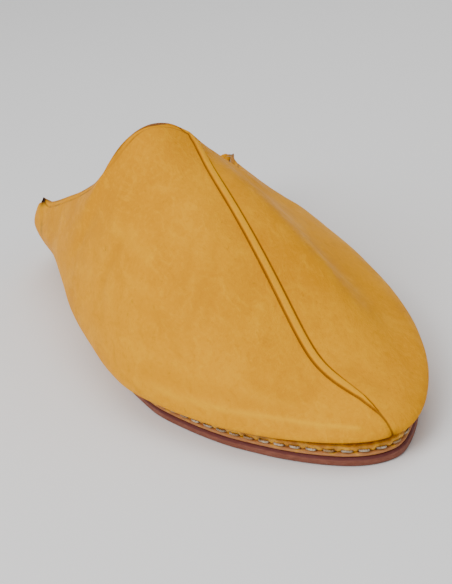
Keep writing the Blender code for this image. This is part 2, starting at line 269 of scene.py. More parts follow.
def outline_loop(count):
    """Points and outward directions round the sole, evenly spread by turn."""
    marks = []
    for i in range(count):
        angle = 2 * math.pi * i / count
        side = -1 if angle < math.pi else 1
        marks.append(((1 - math.cos(angle)) / 2, side))
    points = [outline_point(along, side) for along, side in marks]
    return points, outward(points)


def outward(points):
    """Unit directions that point out of a loop running heel, near side, toe, far side."""
    count = len(points)
    directions = []
    for i in range(count):
        run = points[(i + 1) % count] - points[i - 1]
        directions.append(np.array([run[1], -run[0]]) / np.linalg.norm(run))
    return directions


def smooth_path(points, start_run):
    """A dense smooth curve through a rib's few points."""
    points = [np.array(p, float) for p in points]
    knots = [0.0]
    for a, b in zip(points, points[1:]):
        knots.append(knots[-1] + math.sqrt(np.linalg.norm(b - a)))
    tangents = [start_run * np.linalg.norm(points[1] - points[0]) / (knots[1] - knots[0])]
    for i in range(1, len(points) - 1):
        before = (points[i] - points[i - 1]) / (knots[i] - knots[i - 1])
        after = (points[i + 1] - points[i]) / (knots[i + 1] - knots[i])
        w = (knots[i + 1] - knots[i]) / (knots[i + 1] - knots[i - 1])
        tangents.append(w * before + (1 - w) * after)
    last = (points[-1] - points[-2]) / (knots[-1] - knots[-2])
    tangents.append(1.5 * last - 0.5 * tangents[-1])
    path = []
    for i in range(len(points) - 1):
        width = knots[i + 1] - knots[i]
        for k in range(PATH_STEPS):
            t = k / PATH_STEPS
            path.append(cubic(t, width, points[i], tangents[i], points[i + 1], tangents[i + 1]))
    path.append(points[-1])
    return np.array(path)


def feather_height():
    """Height of the rand's top, where the upper and the insole meet it."""
    return OUTSOLE_THICK + MIDSOLE_THICK + RAND_THICK + 2 * GAP


def rib(along, side, direction):
    """One rib of the upper's outer face, from the rand up to the top line."""
    foot = outline_point(along, side)
    top_table = SEAM_LINE if along >= THROAT_ALONG else (NEAR_TOP if side < 0 else FAR_TOP)
    x, y, z = row_at(top_table, along)
    base = feather_height() + GAP
    top = np.array([x * LENGTH, y * BALL_WIDTH, base + z * INSTEP])
    profile = row_at(NEAR_PROFILE if side < 0 else FAR_PROFILE, along)
    out, bulge, flank_across, flank, shoulder_across, shoulder = profile
    bulge_plan = foot + direction * out * BALL_WIDTH
    feather_plan = foot - direction * FEATHER_INSET
    across = top[:2] - bulge_plan
    points = [
        (*feather_plan, base),
        (*bulge_plan, base + bulge * INSTEP),
        (*(bulge_plan + across * flank_across), base + flank * INSTEP),
        (*(bulge_plan + across * shoulder_across), base + shoulder * INSTEP),
        tuple(top),
    ]
    start_run = np.array([direction[0], direction[1], 0.35])
    path = smooth_path(points, start_run)
    run = np.concatenate([[0.0], np.cumsum(np.linalg.norm(np.diff(path, axis=0), axis=1))])
    stops = [run[k * PATH_STEPS] for k in range(len(points))]
    border = SEAM_HALF_WIDTH + 2 * STEP_RUN
    squeeze = min(1.0, (stops[-1] - stops[-2]) * BORDER_SHARE / border)
    stops[-1] -= border * squeeze
    marks = [stops[0]]
    for k, rows in enumerate(SEGMENT_ROWS):
        marks += [stops[k] + (stops[k + 1] - stops[k]) * r / rows for r in range(1, rows + 1)]
    marks.append(run[-1] - (SEAM_HALF_WIDTH + STEP_RUN) * squeeze)
    marks.append(run[-1] - SEAM_HALF_WIDTH * squeeze)
    marks.append(run[-1])
    return np.array([[np.interp(m, run, path[:, c]) for c in range(3)] for m in marks])


def rib_marks():
    """Where the ribs stand: heel, near side, toe, far side. Each is (along, side)."""
    side_marks = [0.0]
    for start, end, count in RIB_STRETCHES:
        a = turn(start)
        b = turn(end)
        for k in range(1, count + 1):
            side_marks.append((1 - math.cos(a + (b - a) * k / count)) / 2)
    near = [(along, -1) for along in side_marks]
    far = [(along, 1) for along in reversed(side_marks[1:-1])]
    return near + far


def fair(ribs):
    """Each rib drawn halfway to its two neighbours, so the leather runs smoothly."""
    faired = 0.5 * ribs + 0.25 * (np.roll(ribs, 1, axis=0) + np.roll(ribs, -1, axis=0))
    faired[:, 0] = ribs[:, 0]
    return faired


# Detail of the upper
RIB_SPLITS = 5
ROW_SPLITS = 3
NORMAL_PASSES = 12
FOOT_MIDDLE = 0.045
THROAT_LEAN = 0.45
THROAT_REACH = (0.0065, 0.0030)
THROAT_RISE = (0.066, 0.076)
EAR_SINK = 0.0015
EAR_THINNING = 0.8
FIRM_RIDGE = 1.1
FOOT_FADE = 0.004
SEAM_FADE = (0.001, 0.006)
THROAT_FADE = 0.005
COLLAR_CLEAR = 0.012
FEATHER_CLEAN = 20.0
SEAM_CROWN = 0.0012
SEAM_GROOVE = 0.00175
SEAM_GROOVE_WIDTH = 0.00040
SEAM_GROOVE_DEPTH = 0.00035
SEAM_CLOSES_FROM = 0.0235
SEAM_CLOSED_AT = 0.0160
COLLAR_LINE = 0.0026
COLLAR_LINE_WIDTH = 0.00055
COLLAR_LINE_DEPTH = 0.00022
SWELL_SIZE = 0.034
SWELL_HEIGHT = 0.00045
WRINKLE_SIZE = 0.011
WRINKLE_HEIGHT = 0.00011

# Detail of the stitching, the rand and the soles
STITCH_PITCH = 0.0065
STITCH_LENGTH = 0.0036
STITCH_WANDER = 0.0009
STITCH_SLANT = 0.00035
THREAD_RADIUS = 0.00046
THREAD_FLATNESS = 0.8
THREAD_SIDES = 10
TWIST_PER_RING = 0.45
PINCH_REACH = 0.0007
PINCH_DEPTH = 0.00055
HOLE_REACH = 0.00055
HOLE_HEIGHT = 0.12
RUFFLE_SIZE = 0.0042
RUFFLE_DEPTH = 0.00022
RUFFLE_DEPTH_AT_TOE = 0.00030
RUFFLE_RISE = 0.00018
RUFFLE_TOE = (0.02, 0.12)
RAND_OUTER = 0.002
EDGE_WAVE_SIZE = 0.018
OUTSOLE_WAVE = 0.00022
MIDSOLE_WAVE = 0.00018
OVER_RAND = 0.00004
INSOLE_INSET = 0.0040
INSOLE_DISH = 0.0009
INSOLE_BOWL = (0.0004, 0.006)
RAND_POINTS = 1500
SLAB_POINTS = 640
SLAB_ACROSS = 16
MM = 0.001

# Creases of the upper, placed one by one. A positive height is a ridge, a negative one a trough.
CREASES = (
    # half width, height, points (x, y, z) in millimetres
    (1.1, 0.60, (
        (57, -54, 20), (78, -46.5, 19), (97, -36, 18), (113, -23, 17), (125, -13.5, 16.4), (135, -3, 15.4),
    )),
    (3.0, -0.25, ((60, -51, 24), (80, -43, 23), (98, -32, 22), (113, -20, 20.5))),
    (2.6, -0.50, (
        (97, -24, 26.4), (102, -21, 24.2), (108, -17, 22.3), (112.6, -11, 21.9), (112, -4, 23),
    )),
    (2.2, 0.30, ((99, -27, 23), (106, -23, 20.4), (113, -17, 19))),
    (3.6, -0.55, ((112, 10.5, 23), (117, 12, 21.7), (123.5, 14.5, 19.5))),
    (1.5, -0.28, ((49, -18, 64.5), (54, -23, 60), (59, -28, 54), (64, -34, 47))),
    (1.3, -0.22, ((55, -12, 62), (63, -20, 55), (69, -29, 47), (71, -36, 40))),
    (1.6, -0.24, ((60, -14, 58), (69, -22, 50), (75, -30, 42))),
    (2.4, -0.35, ((23, -39, 60), (20, -45, 52), (19.5, -50.5, 43), (26, -54, 35))),
    (1.8, -0.25, ((47, -45, 44), (57, -42, 44), (66, -40, 39), (72, -41, 32.5))),
    (2.6, 0.30, ((12, -37, 64), (28, -37, 61), (41, -34.5, 59))),
    (2.2, -0.28, ((-25, -44, 60), (-12, -49, 50), (2, -53, 42))),
    (2.4, -0.30, ((-60, -48, 42), (-45, -52, 38), (-28, -54, 35))),
    (1.4, -0.25, ((-92, -44, 42), (-84, -47.5, 38), (-74, -49, 36))),
    (3.0, 0.28, ((30, 27, 54), (52, 26, 49), (76, 22.5, 42))),
    (2.2, -0.30, ((-40, 38, 45), (-20, 40, 42), (2, 42, 38))),
    (1.5, -0.25, ((-90, 52, 36), (-80, 53, 33), (-68, 51, 31))),
    (2.0, -0.35, ((-122, -30, 24), (-129, -14, 19), (-131, 2, 17), (-128, 18, 19))),
)

# Blunted, darkened and stained places of the upper: a place and its reach in millimetres, a strength
EAR_TIPS = (
    ((-89.8, -39.8, 46.4), 5.0, 1.0),
    ((-88.4, 55.6, 38.8), 5.0, 1.0),
)
DARKENED = (
    ((-89.8, -39.8, 45.6), 3.3, 1.6),
    ((-87.6, -40.0, 45.9), 2.8, 1.2),
    ((-88.2, 55.7, 38.4), 3.4, 1.5),
    ((-10.0, -24.0, 85.0), 3.0, 0.35),
    # Painted shade in the small fold where the seam ends at the toe
    ((139.3, 6.8, 11.0), 1.8, 0.7),
)
STAINS = (
    ((-84.0, -46.0, 35.5), 1.9, 0.55),
    ((-83.6, -46.6, 33.0), 1.8, 0.60),
    ((-83.4, -47.0, 30.8), 1.4, 0.35),
    ((-95, 55, 30), 3.0, 0.20),
)

# Where a foot presses the insole
PRESSES = (
    # x, y, half length, half width, how hard
    (-0.085, 0.001, 0.034, 0.024, 1.0),
    (0.038, -0.004, 0.036, 0.036, 0.85),
)

# Colours, linear
OCHRE = (0.790, 0.335, 0.0000, 1.0)
OCHRE_LIGHT = (0.920, 0.450, 0.0030, 1.0)
OCHRE_DEEP = (0.610, 0.230, 0.0000, 1.0)
GROOVE_BROWN = (0.200, 0.062, 0.0080, 1.0)
DARK_BROWN = (0.022, 0.008, 0.005, 1.0)
STAIN_GREY = (0.170, 0.085, 0.028, 1.0)
LINING_TAN = (0.540, 0.350, 0.170, 1.0)
LINING_DEEP = (0.400, 0.235, 0.100, 1.0)
CUT_EDGE = (0.330, 0.165, 0.050, 1.0)
RAND_YELLOW = (0.800, 0.400, 0.0040, 1.0)
RAND_DEEP = (0.520, 0.200, 0.0020, 1.0)
HOLE_DARK = (0.045, 0.020, 0.010, 1.0)
THREAD_PALE = (0.640, 0.540, 0.390, 1.0)
THREAD_GREY = (0.300, 0.215, 0.140, 1.0)
THREAD_GRIME = (0.300, 0.150, 0.030, 1.0)
MIDSOLE_TAN = (0.420, 0.155, 0.040, 1.0)
MIDSOLE_PALE = (0.570, 0.250, 0.075, 1.0)
SOLE_RED = (0.190, 0.052, 0.028, 1.0)
SOLE_PINK = (0.285, 0.098, 0.060, 1.0)
BURGUNDY = (0.110, 0.018, 0.018, 1.0)
UNDERSIDE = (0.330, 0.170, 0.095, 1.0)
UNDERSIDE_WORN = (0.200, 0.105, 0.065, 1.0)
INSOLE_PALE = (0.560, 0.375, 0.190, 1.0)
INSOLE_DEEP = (0.380, 0.225, 0.100, 1.0)
PAPER = (0.86, 0.86, 0.86, 1.0)
PAPER_LIGHT = (0.89, 0.89, 0.89, 1.0)


# Shared shape helpers


def part_shift():
    """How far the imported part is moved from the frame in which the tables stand."""
    low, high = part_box("outsole")
    points, _ = outline_loop(PLATE_POINTS)
    points = np.array(points)
    middle = (points.min(axis=0) + points.max(axis=0)) / 2
    return np.array([(low.x + high.x) / 2 - middle[0], (low.y + high.y) / 2 - middle[1], 0.0])


def refine(points, gaps, splits, closed):
    """Points on a smooth curve through the given ones, along the first axis."""
    if closed:
        after = (np.roll(points, -1, axis=0) - points) / gaps
        before = np.roll(after, 1, axis=0)
        gaps_before = np.roll(gaps, 1, axis=0)
        weight = gaps / (gaps + gaps_before)
        runs = weight * before + (1 - weight) * after
        starts, ends = points, np.roll(points, -1, axis=0)
        start_runs, end_runs = runs, np.roll(runs, -1, axis=0)
    else:
        after = np.diff(points, axis=0) / gaps
        weight = gaps[1:] / (gaps[1:] + gaps[:-1])
        inner = weight * after[:-1] + (1 - weight) * after[1:]
        runs = np.concatenate([after[:1], inner, after[-1:]])
        starts, ends = points[:-1], points[1:]
        start_runs, end_runs = runs[:-1], runs[1:]
    steps = [cubic(k / splits, gaps, starts, start_runs, ends, end_runs) for k in range(splits)]
    fine = np.stack(steps, axis=1).reshape((-1,) + points.shape[1:])
    if not closed:
        fine = np.concatenate([fine, points[-1:]])
    return fine


def distance_to_line(points, line):
    """Distance of each point from a chain of straight pieces."""
    best = np.full(len(points), np.inf)
    for a, b in zip(line, line[1:]):
        run = b - a
        share = np.clip(((points - a) @ run) / max(run @ run, 1e-12), 0.0, 1.0)
        gap = np.linalg.norm(points - (a + share[:, None] * run), axis=1)
        best = np.minimum(best, gap)
    return best


def bump(distance, half_width):
    """1 on the line, falling smoothly to 0 a little beyond its half width."""
    return np.exp(-((distance / half_width) ** 2))


def smooth_step(value, low, high):
    """0 at low, 1 at high, and a smooth rise between them. high may be the lesser of the two."""
    t = np.clip((value - low) / (high - low), 0.0, 1.0)
    return t * t * (3 - 2 * t)


def unit(rows):
    """Each row as a direction of length 1."""
    return rows / np.maximum(np.linalg.norm(rows, axis=1), 1e-12)[:, None]


def noise_at(x, y, z):
    return noise.noise(Vector((x, y, z)))


def band(a, b, count):
    """Faces between two rings of count vertices that start at a and b."""
    return [(a + i, a + (i + 1) % count, b + (i + 1) % count, b + i) for i in range(count)]


def rolling(points, size, seed):
    """Smooth noise from -1 to 1 with swells of about the given size."""
    offset = Vector((seed, 2.3 * seed, 5.1 * seed))
    return np.array([noise.noise(Vector(p) / size + offset) for p in points])


def mesh_object(name, vertices, faces, materials, face_materials=None, floats=None):
    """A smooth-shaded mesh object that carries materials and named values per vertex."""
    mesh = bpy.data.meshes.new(name)
    mesh.from_pydata([tuple(v) for v in vertices], [], faces)
    for mat in materials:
        mesh.materials.append(mat)
    if face_materials is not None:
        mesh.polygons.foreach_set("material_index", face_materials)
    for key, values in (floats or {}).items():
        layer = mesh.attributes.new(key, "FLOAT", "POINT")
        layer.data.foreach_set("value", np.asarray(values, np.float32))
    mesh.update()
    mesh.shade_smooth()
    mesh.set_sharp_from_angle(angle=math.radians(60))
    obj = bpy.data.objects.new(name, mesh)
    bpy.context.scene.collection.objects.link(obj)
    return obj


def finish_piece(obj, replaced=None):
    """Tie a piece to the body and hide the solid that it stands for, if any."""
    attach(obj, "root")
    if replaced:
        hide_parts(replaced)


# Materials


def new_material(name, colour, roughness, coat=0.0, coat_roughness=0.3, specular=0.5):
    mat = bpy.data.materials.new(name)
    mat.use_nodes = True
    tree = mat.node_tree
    shader = tree.nodes["Principled BSDF"]
    shader.inputs["Base Color"].default_value = colour
    shader.inputs["Roughness"].default_value = roughness
    shader.inputs["Coat Weight"].default_value = coat
    shader.inputs["Coat Roughness"].default_value = coat_roughness
    shader.inputs["Specular IOR Level"].default_value = specular
    return mat, tree, shader


def add(tree, kind, inputs=None, **settings):
    """A node with its settings, and inputs that are values or other nodes' outputs."""
    made = tree.nodes.new(kind)
    for key, value in settings.items():
        setattr(made, key, value)
    for key, value in (inputs or {}).items():
        if isinstance(value, bpy.types.NodeSocket):
            tree.links.new(value, made.inputs[key])
        else:
            made.inputs[key].default_value = value
    return made


def place(tree, stretch=(1.0, 1.0, 1.0), turn_by=(0.0, 0.0, 0.0)):
    """The object's own coordinates in metres, stretched and turned."""
    source = add(tree, "ShaderNodeTexCoord").outputs["Object"]
    mapping = add(tree, "ShaderNodeMapping", {"Vector": source, "Scale": stretch, "Rotation": turn_by})
    return mapping.outputs["Vector"]


def cloudy(tree, vector, size, detail=3.0, roughness=0.5, distortion=0.0):
    """Soft noise whose patches are about size metres across."""
    inputs = {
        "Vector": vector,
        "Scale": 1.0 / size,
        "Detail": detail,
        "Roughness": roughness,
        "Distortion": distortion,
    }
    return add(tree, "ShaderNodeTexNoise", inputs).outputs["Fac"]


def spread(tree, value, low, high, new_low=0.0, new_high=1.0):
    """A value mapped smoothly from one range to another."""
    inputs = {0: value, 1: low, 2: high, 3: new_low, 4: new_high}
    made = add(tree, "ShaderNodeMapRange", inputs, interpolation_type="SMOOTHSTEP")
    return made.outputs[0]


def calc(tree, operation, a, b=0.0):
    return add(tree, "ShaderNodeMath", {0: a, 1: b}, operation=operation).outputs[0]


def blend(tree, factor, a, b):
    """Colour a with colour b over it by factor."""
    inputs = {0: factor, 6: a, 7: b}
    made = add(tree, "ShaderNodeMix", inputs, data_type="RGBA")
    return made.outputs[2]


def tint(tree, colour, *layers):
    """More colours laid over one. A layer: its pattern, start and end, its most, its colour."""
    for pattern, start, end, most, over in layers:
        colour = blend(tree, spread(tree, pattern, start, end, 0.0, most), colour, over)
    return colour


def wire(tree, shader, colour, normal, roughness=None):
    """Join finished patterns to the shader."""
    tree.links.new(colour, shader.inputs["Base Color"])
    tree.links.new(normal, shader.inputs["Normal"])
    if roughness is not None:
        tree.links.new(roughness, shader.inputs["Roughness"])


def value_of(tree, key):
    """A named value carried by the mesh."""
    return add(tree, "ShaderNodeAttribute", attribute_name=key).outputs["Fac"]


def emboss(tree, height, depth, strength, under=None):
    """A bump from a 0 to 1 height that stands for depth metres."""
    inputs = {"Height": height, "Distance": depth, "Strength": strength}
    if under is not None:
        inputs["Normal"] = under
    return add(tree, "ShaderNodeBump", inputs).outputs["Normal"]


def leather_grain(tree, vector, cell):
    """Pebbled leather grain: 0 in the creases between cells, 1 on their tops."""
    warp = add(tree, "ShaderNodeTexNoise", {"Vector": vector, "Scale": 0.4 / cell, "Detail": 2.0})
    shifted = add(
        tree,
        "ShaderNodeVectorMath",
        {0: warp.outputs["Color"], 1: (cell * 1.4, cell * 1.4, cell * 1.4)},
        operation="MULTIPLY",
    ).outputs[0]
    place_in = add(tree, "ShaderNodeVectorMath", {0: vector, 1: shifted}).outputs[0]
    cells = add(
        tree,
        "ShaderNodeTexVoronoi",
        {"Vector": place_in, "Scale": 1.0 / cell},
        feature="DISTANCE_TO_EDGE",
    )
    return spread(tree, cells.outputs["Distance"], 0.0, 0.28)


def ochre_leather():
    """The upper's outer face: mottled ochre, fine grain, brown seam grooves, darkened ear tips and rubbed
    edges, with painted light and shade on the seam, the creases and the foot of the wall.
    """
    mat, tree, shader = new_material("ochre_leather", OCHRE, 0.5, 0.0, 0.4, 0.02)
    here = place(tree)
    slanted = place(tree, (0.55, 1.6, 0.9), (0.3, 0.5, 0.7))
    broad = cloudy(tree, here, 0.055, 3.0, 0.55, 0.3)
    blotch = cloudy(tree, here, 0.012, 4.0, 0.6, 0.8)
    veins = cloudy(tree, slanted, 0.0075, 5.0, 0.62, 1.6)
    fine = cloudy(tree, here, 0.0016, 4.0, 0.6)
    colour = blend(tree, spread(tree, broad, 0.30, 0.70, 0.35, 1.0), OCHRE_DEEP, OCHRE)
    colour = tint(
        tree,
        colour,
        (blotch, 0.50, 0.72, 0.26, OCHRE_LIGHT),
        (blotch, 0.46, 0.26, 0.26, OCHRE_DEEP),
        (veins, 0.54, 0.66, 0.26, OCHRE_LIGHT),
        (veins, 0.46, 0.33, 0.30, OCHRE_DEEP),
        (fine, 0.50, 0.68, 0.20, OCHRE_LIGHT),
        (fine, 0.48, 0.30, 0.26, OCHRE_DEEP),
        (cloudy(tree, here, 0.0028, 6.0, 0.75, 0.6), 0.60, 0.72, 0.30, GROOVE_BROWN),
    )
    # Painted highlight along the creases' ridges, painted shade along their troughs
    colour = blend(tree, calc(tree, "MULTIPLY", value_of(tree, "ridge_highlight"), 0.6), colour, OCHRE_LIGHT)
    colour = blend(tree, calc(tree, "MULTIPLY", value_of(tree, "crease_shade"), 0.32), colour, OCHRE_DEEP)

    from_seam = value_of(tree, "seam")
    from_groove = calc(tree, "ABSOLUTE", calc(tree, "SUBTRACT", from_seam, SEAM_GROOVE / MM))
    groove = spread(tree, from_groove, 0.58, 0.10)
    # Painted shade in a band beside the raised seam and a painted highlight on its crown; the grooves'
    # brown is their own darker colour with painted shade
    colour = tint(
        tree,
        colour,
        (from_seam, 4.2, 1.6, 0.22, OCHRE_DEEP),
        (from_seam, 1.5, 0.6, 0.45, OCHRE_LIGHT),
        (from_groove, 0.58, 0.10, 0.78, GROOVE_BROWN),
    )

    from_edge = value_of(tree, "collar")
    from_line = calc(tree, "ABSOLUTE", calc(tree, "SUBTRACT", from_edge, COLLAR_LINE / MM))
    patchy = spread(tree, blotch, 0.38, 0.58, 0.25, 1.0)
    line = calc(tree, "MULTIPLY", spread(tree, from_line, 0.8, 0.1, 0.0, 0.55), patchy)
    rim = calc(tree, "MULTIPLY", spread(tree, from_edge, 1.5, 0.2, 0.0, 0.65), patchy)
    for mark in (line, rim):
        colour = blend(tree, mark, colour, GROOVE_BROWN)
    # Darker brown towards the foot of the wall, just above the rand: edge wear, with painted shade where
    # the wall tucks under its bulge
    colour = tint(tree, colour, (value_of(tree, "feather"), 3.2, 0.3, 0.75, GROOVE_BROWN))
    # Darker brown at the ear tips, at a rubbed spot on the throat's edge, and painted shade in the fold
    # where the seam ends at the toe
    darkened = calc(tree, "MULTIPLY", value_of(tree, "darkened"), spread(tree, fine, 0.25, 0.55, 0.8, 1.0))
    colour = blend(tree, darkened, colour, DARK_BROWN)
    colour = blend(tree, value_of(tree, "stain"), colour, STAIN_GREY)

    gloss = spread(tree, blotch, 0.3, 0.7, 0.52, 0.40)
    gloss = calc(tree, "ADD", gloss, calc(tree, "MULTIPLY", darkened, 0.2))
    pebbles = leather_grain(tree, here, 0.00085)
    normal = emboss(tree, pebbles, 0.00006, 0.55)
    normal = emboss(tree, fine, 0.00012, 0.6, normal)
    normal = emboss(tree, veins, 0.00045, 0.55, normal)
    normal = emboss(tree, groove, -0.00022, 0.8, normal)
    wire(tree, shader, colour, normal, gloss)
    return mat


def lining_leather():
    """The upper's inner face: plain undyed leather, darker where a foot has rubbed it."""
    mat, tree, shader = new_material("lining_leather", LINING_TAN, 0.72, specular=0.3)
    here = place(tree)
    broad = cloudy(tree, here, 0.03, 4.0, 0.6, 0.4)
    fine = cloudy(tree, here, 0.0012, 4.0, 0.65)
    colour = blend(tree, spread(tree, broad, 0.35, 0.7), LINING_DEEP, LINING_TAN)
    colour = tint(tree, colour, (fine, 0.3, 0.7, 0.25, LINING_DEEP))
    normal = emboss(tree, fine, 0.0002, 0.7)
    normal = emboss(tree, leather_grain(tree, here, 0.0011), 0.00005, 0.5, normal)
    wire(tree, shader, colour, normal, spread(tree, broad, 0.3, 0.7, 0.78, 0.62))
    return mat


def cut_edge_leather():
    """The cut edge of the upper's leather: brown, fibrous and dry."""
    mat, tree, shader = new_material("cut_edge_leather", CUT_EDGE, 0.8, specular=0.25)
    here = place(tree)
    fibres = cloudy(tree, here, 0.0007, 5.0, 0.7, 1.0)
    patches = cloudy(tree, here, 0.009, 3.0, 0.5)
    colour = blend(tree, spread(tree, fibres, 0.3, 0.7), GROOVE_BROWN, CUT_EDGE)
    colour = tint(tree, colour, (patches, 0.45, 0.7, 0.6, OCHRE_DEEP))
    wire(tree, shader, colour, emboss(tree, fibres, 0.0003, 0.8))
    return mat


def rand_leather():
    """The puckered rand: yellow leather, with painted shade in the hollows of its pleats, along its foot
    and in its stitch holes.
    """
    mat, tree, shader = new_material("rand_leather", RAND_YELLOW, 0.5, 0.05, 0.4, 0.4)
    here = place(tree)
    patches = cloudy(tree, here, 0.006, 4.0, 0.6, 0.8)
    fine = cloudy(tree, here, 0.0009, 4.0, 0.6)
    colour = blend(tree, spread(tree, patches, 0.35, 0.65), RAND_DEEP, RAND_YELLOW)
    colour = tint(tree, colour, (fine, 0.35, 0.7, 0.25, RAND_DEEP))
    # Painted shade in the pleats' hollows and along the rand's foot, then in the stitch holes
    colour = blend(tree, calc(tree, "MULTIPLY", value_of(tree, "pleat_shade"), 0.75), colour, GROOVE_BROWN)
    colour = blend(tree, value_of(tree, "hole"), colour, HOLE_DARK)
    normal = emboss(tree, fine, 0.0002, 0.6)
    normal = emboss(tree, patches, 0.0006, 0.5, normal)
    wire(tree, shader, colour, normal, spread(tree, patches, 0.3, 0.7, 0.6, 0.42))
    return mat


def waxed_thread():
    """Pale waxed thread, greyer where dirt has caught, with the twist of its strands."""
    mat, tree, shader = new_material("waxed_thread", THREAD_PALE, 0.55, 0.1, 0.3, 0.4)
    here = place(tree)
    dirt = cloudy(tree, here, 0.004, 4.0, 0.65, 0.5)
    fibres = cloudy(tree, here, 0.0004, 4.0, 0.6)
    colour = tint(tree, THREAD_PALE, (dirt, 0.38, 0.60, 0.9, THREAD_GREY))
    colour = blend(tree, value_of(tree, "grime"), colour, THREAD_GRIME)
    strands = calc(tree, "SINE", calc(tree, "MULTIPLY", value_of(tree, "twist"), 2 * math.pi))
    normal = emboss(tree, spread(tree, strands, -1.0, 1.0), 0.00016, 0.9)
    normal = emboss(tree, fibres, 0.0001, 0.6, normal)
    wire(tree, shader, colour, normal)
    return mat


def layered_edge(name, low_colour, high_colour, band_colour, band_low, band_high):
    """The cut edge of a sole layer: fibres along it, and a band of another colour."""
    mat, tree, shader = new_material(name, high_colour, 0.62, specular=0.35)
    here = place(tree)
    lines = place(tree, (1.0, 1.0, 7.0))
    patches = cloudy(tree, here, 0.012, 4.0, 0.6, 0.5)
    fibres = cloudy(tree, lines, 0.0032, 5.0, 0.7, 0.3)
    height = add(tree, "ShaderNodeSeparateXYZ", {0: here}).outputs["Z"]
    wave = calc(tree, "MULTIPLY", calc(tree, "SUBTRACT", patches, 0.5), 0.0009)
    colour = tint(
        tree,
        blend(tree, spread(tree, fibres, 0.34, 0.66), low_colour, high_colour),
        (patches, 0.4, 0.7, 0.5, low_colour),
        (calc(tree, "ADD", height, wave), band_low, band_high, 0.9, band_colour),
    )
    return mat, tree, shader, colour, fibres, height


def red_leather():
    """The outsole: red-brown edge with a burgundy line on top, darker towards the bottom, scuffed
    underneath.
    """
    top = OUTSOLE_THICK
    mat, tree, shader, colour, fibres, height = layered_edge(
        "red_leather", SOLE_RED, SOLE_PINK, BURGUNDY, top - 0.0012, top - 0.0005
    )
    # Darker towards the bottom of the edge
    colour = tint(tree, colour, (height, 0.0009, 0.0002, 0.75, BURGUNDY))
    scuffs = cloudy(tree, place(tree, (0.5, 2.2, 1.0)), 0.012, 6.0, 0.7, 0.8)
    under = blend(tree, spread(tree, scuffs, 0.38, 0.62), UNDERSIDE_WORN, UNDERSIDE)
    facing = add(tree, "ShaderNodeSeparateXYZ", {0: add(tree, "ShaderNodeNewGeometry").outputs["Normal"]})
    down = spread(tree, facing.outputs["Z"], -0.7, -0.95)
    colour = blend(tree, down, colour, under)
    normal = emboss(tree, fibres, 0.0005, 0.7)
    normal = emboss(tree, scuffs, 0.0004, 0.5, normal)
    wire(tree, shader, colour, normal, spread(tree, scuffs, 0.3, 0.7, 0.5, 0.75))
    return mat


def tan_leather():
    """The midsole's edge: pinkish tan with yellow flecks of finish."""
    low = OUTSOLE_THICK + GAP
    mat, tree, shader, colour, fibres, _ = layered_edge(
        "tan_leather", MIDSOLE_TAN, MIDSOLE_PALE, SOLE_RED, low + 0.0003, low - 0.0001
    )
    flecks = cloudy(tree, place(tree, (1.0, 1.0, 3.0)), 0.005, 4.0, 0.6, 0.6)
    colour = tint(tree, colour, (flecks, 0.54, 0.64, 0.7, RAND_YELLOW))
    wire(tree, shader, colour, emboss(tree, fibres, 0.0004, 0.7))
    return mat


def pale_leather():
    """The insole: undyed leather, darker and smoother where heel and ball have pressed it."""
    mat, tree, shader = new_material("pale_leather", INSOLE_PALE, 0.62, specular=0.35)
    here = place(tree)
    broad = cloudy(tree, here, 0.035, 4.0, 0.6, 0.4)
    fine = cloudy(tree, here, 0.0014, 4.0, 0.6)
    pressed = value_of(tree, "pressed")
    colour = blend(tree, spread(tree, broad, 0.35, 0.68), INSOLE_DEEP, INSOLE_PALE)
    colour = blend(tree, calc(tree, "MULTIPLY", pressed, 0.55), colour, INSOLE_DEEP)
    colour = tint(tree, colour, (fine, 0.4, 0.7, 0.2, INSOLE_DEEP))
    gloss = spread(tree, broad, 0.3, 0.7, 0.7, 0.58)
    gloss = calc(tree, "SUBTRACT", gloss, calc(tree, "MULTIPLY", pressed, 0.12))
    normal = emboss(tree, leather_grain(tree, here, 0.0012), 0.00006, 0.5)
    normal = emboss(tree, fine, 0.00015, 0.5, normal)
    wire(tree, shader, colour, normal, gloss)
    return mat


def pale_floor():
    """Plain matt paper, nearly white."""
    mat, tree, shader = new_material("studio_paper", PAPER, 0.9, specular=0.1)
    shade = blend(tree, cloudy(tree, place(tree), 0.4, 2.0), PAPER, PAPER_LIGHT)
    tree.links.new(shade, shader.inputs["Base Color"])
    return mat


# Pieces


def upper_grid():
    """The outer face as a fine grid of ribs and rows, and the ribs where the throat is."""
    marks = rib_marks()
    count = len(marks)
    feet = np.array([outline_point(along, side) for along, side in marks])
    directions = outward(feet)
    ribs = np.array([rib(along, side, d) for (along, side), d in zip(marks, directions)])
    for _ in range(FAIRING_PASSES):
        ribs = fair(ribs)
    gaps = np.linalg.norm(np.roll(feet, -1, axis=0) - feet, axis=1)
    fine = refine(ribs, gaps[:, None, None], RIB_SPLITS, True)
    row_gaps = np.linalg.norm(np.diff(fine, axis=1), axis=2).T[:, :, None]
    fine = refine(fine.transpose(1, 0, 2), row_gaps, ROW_SPLITS, False).transpose(1, 0, 2)
    throat = min(i for i, (along, _) in enumerate(marks) if along > THROAT_ALONG - SAME)
    throat *= RIB_SPLITS
    total = count * RIB_SPLITS
    for k in range(total // 2 + 1, total - throat + 1):
        fine[k, -1] = fine[total - k, -1]
    return fine, throat


def smooth_normals(count, quads, face_normals):
    """Directions out of the wall, evened out so that they stay true where ribs crowd."""
    normals = np.zeros((count, 3))
    for corner in range(4):
        np.add.at(normals, quads[:, corner], face_normals)
    for _ in range(NORMAL_PASSES):
        middles = unit(normals)[quads].mean(axis=1)
        normals = np.zeros((count, 3))
        for corner in range(4):
            np.add.at(normals, quads[:, corner], middles)
    return unit(normals)


